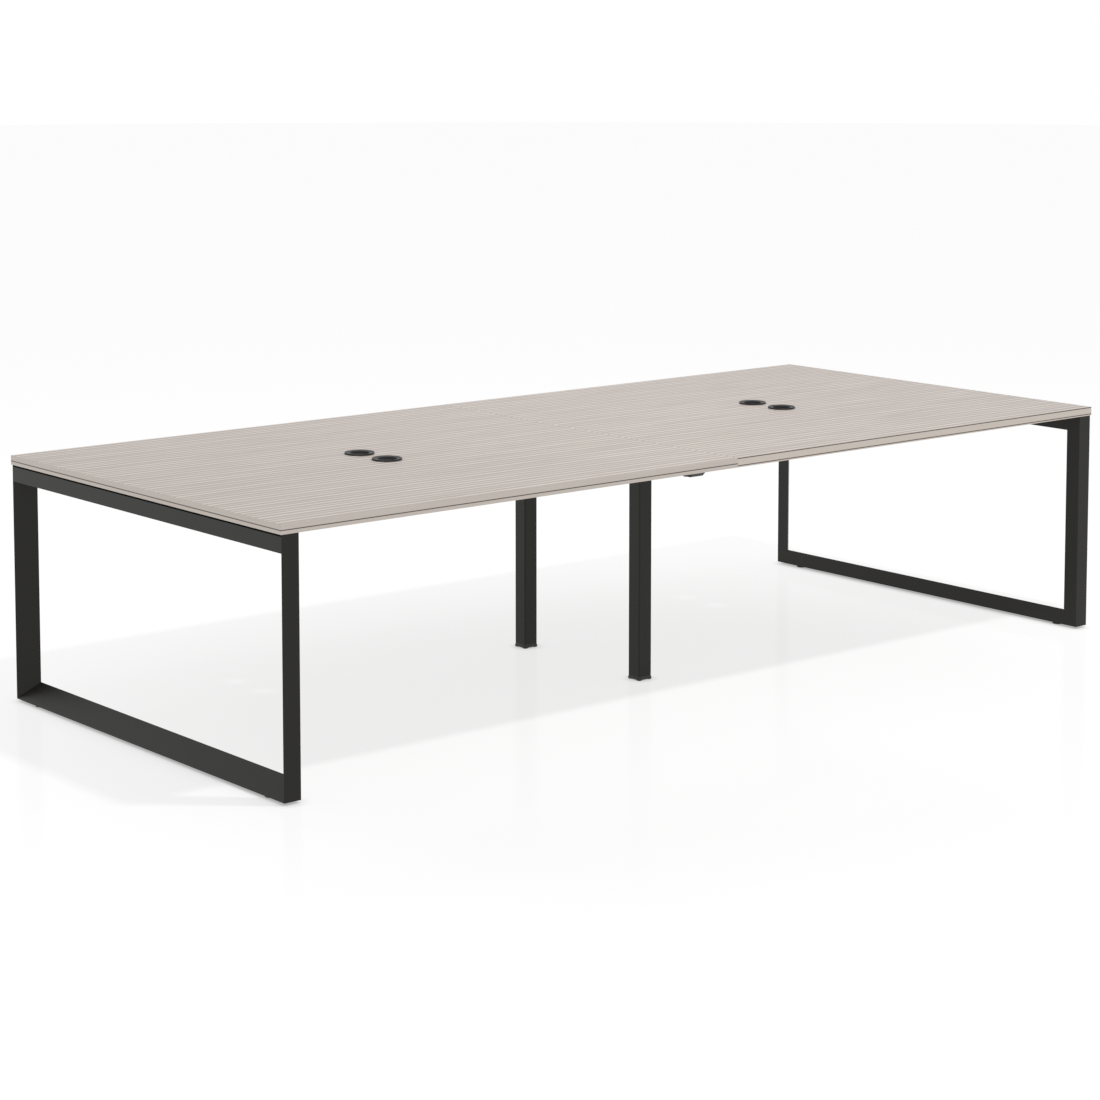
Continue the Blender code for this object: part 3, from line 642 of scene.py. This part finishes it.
# %% [markdown]
# Grommets and glides are turned shapes: one profile of radius and height goes once round an upright axis.
# The solids have few facets. Here the profile gets real arcs on its edges, and each of its points becomes a
# ring of points round the axis, with faces from one ring to the next. Blender's spin does the same in one
# call, but the order of its faces can change from run to run, and rings always come out alike.

# %% Turned shapes
TURN_STEPS = 96
ARC_STEPS = 6


def arc(middle, radius, start, end, steps=ARC_STEPS):
    """Points on an arc between two angles in degrees."""
    turns = [math.radians(start + (end - start) * i / steps) for i in range(steps + 1)]
    return [(middle[0] + radius * math.cos(t), middle[1] + radius * math.sin(t)) for t in turns]


def ring(shape, radius, height, steps):
    """Points round the axis, or one point over and over where the profile meets the axis."""
    if radius == 0:
        return [shape.verts.new((0, 0, height))] * steps
    turns = [math.tau * i / steps for i in range(steps)]
    return [shape.verts.new((radius * math.cos(t), radius * math.sin(t), height)) for t in turns]


def turned(profile, middle, closed, steps=TURN_STEPS):
    """A bmesh of the profile's radius and height points, taken once round an upright axis."""
    shape = bmesh.new()
    rings = [ring(shape, radius, height, steps) for radius, height in profile]
    for one, other in zip(rings, rings[1:] + rings[:1] if closed else rings[1:]):
        for i in range(steps):
            corners = dict.fromkeys((one[i - 1], one[i], other[i], other[i - 1]))
            shape.faces.new(list(corners))
    bmesh.ops.recalc_face_normals(shape, faces=shape.faces)
    bmesh.ops.translate(shape, verts=shape.verts, vec=middle)
    return shape


print("turned shapes have", TURN_STEPS, "steps")

# %% [markdown]
# A grommet's sleeve is a tube through the board with a raised flange on the work surface and a ledge inside
# that carries the cap. It is pressed in and stands still, so it is a piece of its own, apart from the cap.
# Its profile is a closed loop: up the bore, over the rounded flange, down outside and back to the ledge.

# %% Grommet sleeves
PLACES = [f"{side}_{row}" for side in SIDES for row in ROWS]
TUBE_RADIUS = 0.0396
TUBE_BORE = 0.0374
TUBE_DEPTH = 0.024  # below the work surface
TUBE_LEAD_IN = 0.0008
FLANGE_RADIUS = 0.044
FLANGE_HEIGHT = 0.0055
FLANGE_FALL = 0.0010  # towards the bore
FLANGE_ROUND = 0.0008
LEDGE_DEPTH, LEDGE_THICKNESS, LEDGE_BORE = 0.003, 0.002, 0.0340


def sleeve_profile():
    shoulder = FLANGE_HEIGHT - FLANGE_ROUND
    ledge_low = -LEDGE_DEPTH - LEDGE_THICKNESS
    points = [(TUBE_BORE, -LEDGE_DEPTH)]
    points += arc((TUBE_BORE + FLANGE_ROUND, shoulder - FLANGE_FALL), FLANGE_ROUND, 180, 90)
    points += arc((FLANGE_RADIUS - FLANGE_ROUND, shoulder), FLANGE_ROUND, 90, 0)
    points += [(FLANGE_RADIUS, FIT_GAP), (TUBE_RADIUS, FIT_GAP)]
    points += [(TUBE_RADIUS, TUBE_LEAD_IN - TUBE_DEPTH), (TUBE_RADIUS - TUBE_LEAD_IN, -TUBE_DEPTH)]
    points += [(TUBE_BORE, -TUBE_DEPTH), (TUBE_BORE, ledge_low - (TUBE_BORE - LEDGE_BORE) / 2)]
    return points + [(LEDGE_BORE, ledge_low), (LEDGE_BORE, -LEDGE_DEPTH)]


for place in PLACES:
    name = f"{place}_sleeve"
    mesh = mesh_of(name, turned(sleeve_profile(), grommet_middle(place), closed=True))
    add_piece(name, mesh, "black_plastic", ROOT, [f"{place}_grommet_sleeve"])

# %% [markdown]
# The cap drops into the sleeve and turns in it, so that its half-moon window points to where the cables come
# from. Its profile runs from the flat middle up a soft dish to the rounded rim, and back below along the boss
# that centres it. The window can't be turned, so a boolean modifier cuts it out, and the result is kept as a
# plain mesh. It rides on the cap's own body.

# %% Grommet caps
CAP_RADIUS = 0.0371
CAP_RIM_WIDTH, CAP_RIM_HEIGHT = 0.0025, 0.0040
CAP_RIM_ROUND = 0.0006
CAP_FLOOR_RADIUS, CAP_DISH = 0.020, 0.0050  # flat middle, and its depth below the rim
CAP_SEAT, CAP_BOSS, CAP_BOSS_RADIUS = -0.0027, 0.0012, 0.0334
DISH_STEPS = 10
WINDOW_RADIUS, WINDOW_CHORD, WINDOW_CORNER = 0.030, 0.003, 0.004
WINDOW_STEPS = 24
WINDOW_FACING = math.radians(45)  # about +Z, from +X


def cap_profile():
    floor = CAP_RIM_HEIGHT - CAP_DISH
    rim = CAP_RADIUS - CAP_RIM_WIDTH
    points = [(0, floor)]
    for i in range(DISH_STEPS + 1):
        share = i / DISH_STEPS
        rise = (1 - math.cos(math.pi * share)) / 2
        points.append((CAP_FLOOR_RADIUS + (rim - CAP_FLOOR_RADIUS) * share, floor + CAP_DISH * rise))
    points += arc((CAP_RADIUS - CAP_RIM_ROUND, CAP_RIM_HEIGHT - CAP_RIM_ROUND), CAP_RIM_ROUND, 90, 0)
    points += [(CAP_RADIUS, CAP_SEAT), (CAP_BOSS_RADIUS, CAP_SEAT)]
    return points + [(CAP_BOSS_RADIUS, CAP_SEAT - CAP_BOSS), (0, CAP_SEAT - CAP_BOSS)]


def window_outline():
    """A half moon with rounded corners, turned to face its own way."""
    level = WINDOW_CHORD + WINDOW_CORNER
    reach = math.sqrt((WINDOW_RADIUS - WINDOW_CORNER) ** 2 - level ** 2)
    rise = math.degrees(math.atan2(level, reach))
    points = arc((0, 0), WINDOW_RADIUS, rise, 180 - rise, WINDOW_STEPS)
    points += arc((-reach, level), WINDOW_CORNER, 180 - rise, 270)[1:]
    points += arc((reach, level), WINDOW_CORNER, 270, 360 + rise)[:-1]
    facing = Matrix.Rotation(WINDOW_FACING - math.pi / 2, 2)
    return [facing @ Vector(point) for point in points]


def cut_out(name, shape, opening):
    """The plain mesh of one bmesh with another one taken out of it."""
    cutter = bpy.data.objects.new("opening", mesh_of("opening", opening))
    bpy.context.scene.collection.objects.link(cutter)

    def prepare(holder):
        boolean = holder.modifiers.new("Cut", "BOOLEAN")
        boolean.operation = "DIFFERENCE"
        boolean.solver = "EXACT"
        boolean.object = cutter

    mesh = evaluated(name, mesh_of(name, shape), prepare)
    bpy.data.objects.remove(cutter)
    mesh.set_sharp_from_angle(angle=CRISP_ANGLE)
    return mesh


for place in PLACES:
    name, body = f"{place}_cap_dish", f"{place}_cap"
    middle = grommet_middle(place)
    moon = plate("moon", [window_outline()], -FLANGE_RADIUS, FLANGE_RADIUS)
    bmesh.ops.translate(moon, verts=moon.verts, vec=middle)
    mesh = cut_out(name, turned(cap_profile(), middle, closed=False), moon)
    add_piece(name, mesh, "black_plastic", body, [f"{place}_grommet_cap"])

# %% [markdown]
# Threads, screws and bolts repeat, so Geometry Nodes make them. The input is a mesh of bare points, one for
# each screw, that carry the direction in which its head looks out. The tree builds one head or stud from
# named sizes, sets it on every point, realizes the copies and gives them their finish. Afterwards the
# result is kept as a plain mesh, because nothing that moves should depend on the tree.

# %% A tree of Geometry Nodes
CONE_SIDES = 48


class PointTree(Nodes):
    """Geometry Nodes that put a shape on every point of a mesh, with named inputs for its sizes."""

    def __init__(self, name, sizes):
        super().__init__(bpy.data.node_groups.new(name, "GeometryNodeTree"))
        sockets = self.tree.interface
        kinds = {"Geometry": "Geometry", **dict.fromkeys(sizes, "Float"), "Finish": "Material"}
        for label, kind in kinds.items():
            sockets.new_socket(label, in_out="INPUT", socket_type=f"NodeSocket{kind}")
        sockets.new_socket("Geometry", in_out="OUTPUT", socket_type="NodeSocketGeometry")

    def given(self, label):
        return self.add("NodeGroupInput", None, None, label)

    def lifted(self, shape, height):
        lift = self.add("ShaderNodeCombineXYZ", None, {"Z": height})
        return self.add("GeometryNodeTransform", None, {"Geometry": shape, "Translation": lift})

    def cone(self, low_radius, high_radius, height, base=0.0, sides=CONE_SIDES):
        """A round or many-sided frustum that stands on a base height."""
        sizes = {"Vertices": sides, "Radius Bottom": low_radius, "Radius Top": high_radius, "Depth": height}
        return self.lifted(self.add("GeometryNodeMeshCone", None, sizes), base)

    def join(self, *shapes):
        joined = self.add("GeometryNodeJoinGeometry")
        for shape in shapes:
            self.tree.links.new(shape.socket, joined.socket.node.inputs[0])
        return joined

    def close(self, shape):
        """Ends the tree: a copy of the shape on each point, realized, with its finish."""
        vector = {"data_type": "FLOAT_VECTOR"}
        facing = self.add("GeometryNodeInputNamedAttribute", vector, {"Name": "facing"})
        turn = self.add("FunctionNodeAlignRotationToVector", {"axis": "Z"}, {"Vector": facing})
        sockets = {"Points": self.given("Geometry"), "Instance": shape, "Rotation": turn}
        copies = self.add("GeometryNodeInstanceOnPoints", None, sockets)
        plain = self.add("GeometryNodeRealizeInstances", None, {"Geometry": copies})
        sockets = {"Geometry": plain, "Material": self.given("Finish")}
        coated = self.add("GeometryNodeSetMaterial", None, sockets)
        self.connect(self.tree.nodes.new("NodeGroupOutput"), {"Geometry": coated})

    def mesh(self, name, points, inputs):
        """The plain mesh of the tree on points, given as pairs of place and facing."""
        bare = bpy.data.meshes.new(name)
        bare.from_pydata([place for place, _ in points], [], [])
        facing = bare.attributes.new("facing", "FLOAT_VECTOR", "POINT")
        for item, (_, direction) in zip(facing.data, points):
            item.vector = direction

        def prepare(holder):
            modifier = holder.modifiers.new(self.tree.name, "NODES")
            modifier.node_group = self.tree
            for item in self.tree.interface.items_tree:
                if item.in_out == "INPUT" and item.name in inputs:
                    modifier[item.identifier] = inputs[item.name]

        result = evaluated(name, bare, prepare)
        result.set_sharp_from_angle(angle=CRISP_ANGLE)
        return result


print("a point tree offers", [step for step in vars(PointTree) if not step.startswith("_")])

# %% [markdown]
# The screws and bolts are all of one family: a domed head with a hexagon socket on a flat washer. The head
# is two frustums, a straight rim and a dome on it. A boolean takes the socket out of both, and the washer
# lies under them.

# %% Screw and bolt heads
HEAD_SIZES = (
    "Head Radius", "Head Height", "Socket Radius", "Socket Depth", "Washer Radius", "Washer Height",
)
CROWN = 0.62  # radius of the head's flat top, as a share of its radius
RIM_SHARE = 0.35  # of the head's height that is straight
HEXAGON = 6


def fastener_tree():
    tree = PointTree("fastener_heads", HEAD_SIZES)
    radius, height, socket, depth, washer, lift = (tree.given(label) for label in HEAD_SIZES)
    rim = tree.cone(radius, radius, height * RIM_SHARE, lift)
    dome = tree.cone(radius, radius * CROWN, height * (1 - RIM_SHARE), lift + height * RIM_SHARE)
    drive = tree.cone(socket, socket, depth * 2, lift + height - depth, HEXAGON)
    boolean = {"operation": "DIFFERENCE", "solver": "EXACT"}
    dome_cut = tree.add("GeometryNodeMeshBoolean", boolean, {0: dome, 1: drive})
    rim_cut = tree.add("GeometryNodeMeshBoolean", boolean, {0: rim, 1: drive})
    head = tree.join(dome_cut, rim_cut)
    disc = tree.cone(washer, washer, lift)
    tree.close(tree.join(head, disc))
    return tree


FASTENERS = fastener_tree()
print(FASTENERS.tree.name, "has", len(FASTENERS.tree.nodes), "nodes")

# %% [markdown]
# No screw shows from above. From below they are seen where a fitter puts them: along the top rails and the
# cross beam, through the joint plates on both sides of the seam, and two in each end plate of a long beam.
# The faces that they sit on come from the solids, and one mesh of points takes all the screws of one kind.

# %% Where the screws and bolts sit
TOP_SCREW = (6.0, 3.4, 2.3, 2.0, 8.0, 1.2)  # the head's sizes in millimetres, in their order above
JOINT_SCREW = (4.5, 2.4, 1.7, 1.3, 5.0, 0.4)
PLATE_BOLT = (5.3, 3.2, 2.3, 2.0, 6.4, 1.2)
SCREW_SHARES = (-1, -1 / 3, 1 / 3, 1)
RAIL_SCREW_X, RAIL_SCREW_REACH = 1.570, 0.618
BEAM_SCREW_X, BEAM_SCREW_REACH = 0.01165, 0.488
JOINT_SCREW_X, JOINT_SCREW_Y = 0.050, 0.625
BOLT_SPREAD = 0.031  # each side of a long beam's axis
UNDER = Vector((0, 0, -1))
RAIL_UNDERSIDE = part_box("left_top_rail")[0].z


def top_screws(x, reach):
    spots = [(sign * x, share * reach) for sign in SIDES.values() for share in SCREW_SHARES]
    return [((*spot, RAIL_UNDERSIDE), UNDER) for spot in spots]


def joint_screws():
    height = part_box("front_joint_plate")[0].z
    places = [(JOINT_SCREW_X * side, JOINT_SCREW_Y * row) for side in SIDES.values() for row in ROWS.values()]
    return [((*place, height), UNDER) for place in places]


def plate_bolts():
    points = []
    for side, sign in SIDES.items():
        for row in ROWS:
            for end, towards in (("outer", -sign), ("inner", sign)):
                low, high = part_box(f"{side}_{row}_beam_{end}_plate")
                face = high.x if towards > 0 else low.x
                middle = (low + high) / 2
                for shift in (-BOLT_SPREAD, BOLT_SPREAD):
                    points.append(((face, middle.y + shift, middle.z), Vector((towards, 0, 0))))
    return points


def add_fasteners(name, points, millimetres):
    sizes = {label: size / 1000 for label, size in zip(HEAD_SIZES, millimetres)}
    add_piece(name, FASTENERS.mesh(name, points, {**sizes, "Finish": FINISHES["zinc"]}), "zinc")
    print(name, "has", len(points), "heads")


add_fasteners("rail_screws", top_screws(RAIL_SCREW_X, RAIL_SCREW_REACH), TOP_SCREW)
add_fasteners("cross_beam_screws", top_screws(BEAM_SCREW_X, BEAM_SCREW_REACH), TOP_SCREW)
add_fasteners("joint_plate_screws", joint_screws(), JOINT_SCREW)
add_fasteners("end_plate_bolts", plate_bolts(), PLATE_BOLT)

# %% [markdown]
# Every foot of the desk carries a threaded stud that screws into a nut or an insert, so turning it lowers
# the foot and lifts the desk. The thread is a ridge that climbs a core: a spiral curve swept with a small
# diamond. It could be a bump in the finish, but a bump would leave the outline of the stud straight.

# %% A threaded stud
STUD_RADIUS, STUD_PITCH, THREAD_DEPTH = 0.0039, 0.00125, 0.00065  # cut a little under its nominal 8 mm
STUD_SIZES = ("Stud Radius", "Stud Length", "Pitch", "Thread Depth")
TURN_POINTS = 24  # of the spiral in one turn
DIAMOND = 4
THREAD_START = 0.75  # of the pitch, up from the foot of the stud


def stud_tree():
    tree = PointTree("threaded_stud", STUD_SIZES)
    radius, length, pitch, depth = (tree.given(label) for label in STUD_SIZES)
    core = radius - depth
    body = tree.cone(core, core, length - pitch / 2)
    tip = tree.cone(core, core - depth, pitch / 2, length - pitch / 2)
    run = length - 2 * pitch
    sizes = {"Resolution": TURN_POINTS, "Rotations": run / pitch, "Height": run}
    spiral = tree.add("GeometryNodeCurveSpiral", None, {**sizes, "Start Radius": core, "End Radius": core})
    upright = tree.add("GeometryNodeSetCurveNormal", {"mode": "Z_UP"}, {"Curve": spiral})
    diamond = tree.add("GeometryNodeCurvePrimitiveCircle", None, {"Resolution": DIAMOND, "Radius": depth})
    sockets = {"Curve": upright, "Profile Curve": diamond, "Fill Caps": True}
    ridge = tree.add("GeometryNodeCurveToMesh", None, sockets)
    tree.close(tree.join(body, tip, tree.lifted(ridge, pitch * THREAD_START)))
    return tree


STUDS = stud_tree()


def add_stud(name, base, top, body):
    sizes = dict(zip(STUD_SIZES, (STUD_RADIUS, top - base.z, STUD_PITCH, THREAD_DEPTH)))
    mesh = STUDS.mesh(name, [(base, -UNDER)], {**sizes, "Finish": FINISHES["zinc"]})
    add_piece(name, mesh, "zinc", body)


print(STUDS.tree.name, "has", len(STUDS.tree.nodes), "nodes")

# %% [markdown]
# Under each floor rail stand two levelling feet, low moulded glides. The solids hold a glide as a plain disc.
# The finer one is turned: a base with a rounded rim, a groove, and a flange above it. Underneath it is
# slightly hollow, so that it stands on its rim. The glide and its stud ride on the same body.

# %% Levelling feet
GLIDE_RADIUS, GLIDE_HEIGHT = 0.0170, 0.0072
GLIDE_BASE, GLIDE_GROOVE = 0.0034, 0.0006  # height of the base, and of the groove above it
GROOVE_RADIUS, GLIDE_FLANGE_RADIUS = 0.0155, 0.0164
GLIDE_ROUND = 0.0010
GLIDE_HOLLOW, GLIDE_HOLLOW_RADIUS = 0.0004, 0.0130
GLIDE_STEPS = 64


def glide_profile():
    groove_top = GLIDE_BASE + GLIDE_GROOVE
    points = [(0, GLIDE_HEIGHT)]
    points += arc((GLIDE_FLANGE_RADIUS - GLIDE_ROUND, GLIDE_HEIGHT - GLIDE_ROUND), GLIDE_ROUND, 90, 0)
    points += [(GLIDE_FLANGE_RADIUS, groove_top), (GROOVE_RADIUS, groove_top), (GROOVE_RADIUS, GLIDE_BASE)]
    points += arc((GLIDE_RADIUS - GLIDE_ROUND, GLIDE_BASE - GLIDE_ROUND), GLIDE_ROUND, 90, 0)
    points += arc((GLIDE_RADIUS - GLIDE_ROUND, GLIDE_ROUND), GLIDE_ROUND, 0, -90)
    points += [(GLIDE_HOLLOW_RADIUS, 0), (GLIDE_HOLLOW_RADIUS - GLIDE_HOLLOW, GLIDE_HOLLOW)]
    return points + [(0, GLIDE_HOLLOW)]


for place in PLACES:
    low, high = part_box(f"{place}_foot")
    middle = (low + high) / 2
    foot = Vector((middle.x, middle.y, low.z))
    name, body = f"{place}_glide", f"{place}_leveller"
    mesh = mesh_of(name, turned(glide_profile(), foot, closed=False, steps=GLIDE_STEPS))
    add_piece(name, mesh, "black_plastic", body, [f"{place}_foot"])
    add_stud(f"{place}_stud", foot + Vector((0, 0, GLIDE_HEIGHT - FIT_GAP)), high.z, body)

# %% [markdown]
# A centre post stands on a square moulded foot that swells out towards the floor and touches it with its
# four corners. The swelling is a stack of rounded squares, each a little wider or narrower than the one
# above, bridged by faces. The two channels between the corners are cut out, as the cap's window was.

# %% Post feet
POST_HALF_WIDTHS = (  # height above the floor, and half the width there
    (0.0127, 0.0249), (0.0110, 0.0251), (0.0090, 0.0256), (0.0070, 0.0262), (0.0050, 0.0265),
    (0.0035, 0.0265), (0.0020, 0.0263), (0.0010, 0.0259), (0.0004, 0.0255), (0.0, 0.0250),
)
POST_FOOT_HEIGHT, POST_HALF_WIDTH = POST_HALF_WIDTHS[0]
POST_CORNER = 0.0042
CHANNEL_HALF_WIDTH, CHANNEL_HEIGHT = 0.0140, 0.0025


def rounded_square(half, corner):
    reach = half - corner
    points = []
    for quarter, (x, y) in enumerate(((1, 1), (-1, 1), (-1, -1), (1, -1))):
        points += arc((x * reach, y * reach), corner, 90 * quarter, 90 * quarter + 90)
    return points


def swelling(middle):
    """A bmesh of rounded squares on top of each other, closed at both ends."""
    shape = bmesh.new()
    rings = []
    for height, half in POST_HALF_WIDTHS:
        points = rounded_square(half, POST_CORNER)
        rings.append([shape.verts.new((middle.x + x, middle.y + y, height)) for x, y in points])
    for upper, lower in zip(rings, rings[1:]):
        for i in range(len(upper)):
            shape.faces.new((upper[i - 1], upper[i], lower[i], lower[i - 1]))
    shape.faces.new(rings[0])
    shape.faces.new(rings[-1][::-1])
    bmesh.ops.recalc_face_normals(shape, faces=shape.faces)
    return shape


def channels(middle):
    """A bmesh of two crossed bars under the foot."""
    near, far = CHANNEL_HALF_WIDTH, 2 * POST_HALF_WIDTH
    cross = [(far, -near), (far, near), (near, near), (near, far), (-near, far), (-near, near)]
    cross += [(-x, -y) for x, y in cross]
    bars = plate("cross", [cross], -CHANNEL_HEIGHT, CHANNEL_HEIGHT)
    bmesh.ops.translate(bars, verts=bars.verts, vec=(middle.x, middle.y, 0))
    return bars


for row in ROWS:
    low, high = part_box(f"{row}_post_foot")
    middle = (low + high) / 2
    name, body = f"{row}_post_glide", f"{row}_post_leveller"
    mesh = cut_out(name, swelling(middle), channels(middle))
    add_piece(name, mesh, "black_plastic", body, [f"{row}_post_foot"])
    stud_base = Vector((middle.x, middle.y, POST_FOOT_HEIGHT - FIT_GAP))
    add_stud(f"{row}_post_stud", stud_base, high.z, body)

# %% [markdown]
# The frames are welded, ground flush and coated, so no joint shows on the real desk. Between the solids
# there is a slit of a third of a millimetre at each weld, and daylight comes through it. A thin slice of
# the tube's own outline closes it: the points at the end of the tube, drawn in by a hair so that the slice
# stays under the surface, are copied to both sides of the slit and wrapped in a convex hull. A leg ends
# twice: its tube under the top rail, and its outer plate, which covers the rail's end, under the top.

# %% Ground welds
SLICE_OVERLAP = 0.0004  # into the metal on both sides of the slit
SLICE_SHRINK = 0.002  # share by which the slice is smaller than the tube
END_TOLERANCE = 0.00005


def weld_slice(shape, node, outward, end=None):
    """The slice at the tube's outermost end, or at another end that lies so far along the direction."""
    outward = Vector(outward).normalized()
    places = [vertex.co.copy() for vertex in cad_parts[node].data.vertices]
    if end is None:
        end = max(place.dot(outward) for place in places)
    rim = {tuple(place) for place in places if abs(end - place.dot(outward)) < END_TOLERANCE}
    rim = [Vector(place) for place in rim]
    middle = sum(rim, Vector()) / len(rim)
    drawn_in = [place.lerp(middle, SLICE_SHRINK) for place in rim]
    steps = (-SLICE_OVERLAP, SLICE_OVERLAP + FIT_GAP)
    corners = [shape.verts.new(place + outward * step) for place in drawn_in for step in steps]
    hull = bmesh.ops.convex_hull(shape, input=corners)
    inside = [item for item in hull["geom_interior"] if isinstance(item, bmesh.types.BMVert)]
    bmesh.ops.delete(shape, geom=inside, context="VERTS")


def add_welds(name, ends):
    shape = bmesh.new()
    for end in ends:
        weld_slice(shape, *end)
    bmesh.ops.recalc_face_normals(shape, faces=shape.faces)
    add_piece(name, mesh_of(name, shape), "powder_coat")
    print(name, "has", len(ends), "slices")


for side in SIDES:
    mitres = [(f"{side}_{row}_leg", (0, -towards, -1)) for row, towards in ROWS.items()]
    seats = [(f"{side}_{row}_leg", (0, 0, 1), RAIL_UNDERSIDE - FIT_GAP) for row in ROWS]
    rail_ends = [(f"{side}_top_rail", (0, towards, 0)) for towards in ROWS.values()]
    add_welds(f"{side}_frame_welds", mitres + seats + rail_ends)
add_welds("post_welds", [(f"{row}_post", (0, 0, 1)) for row in ROWS])

# %% [markdown]
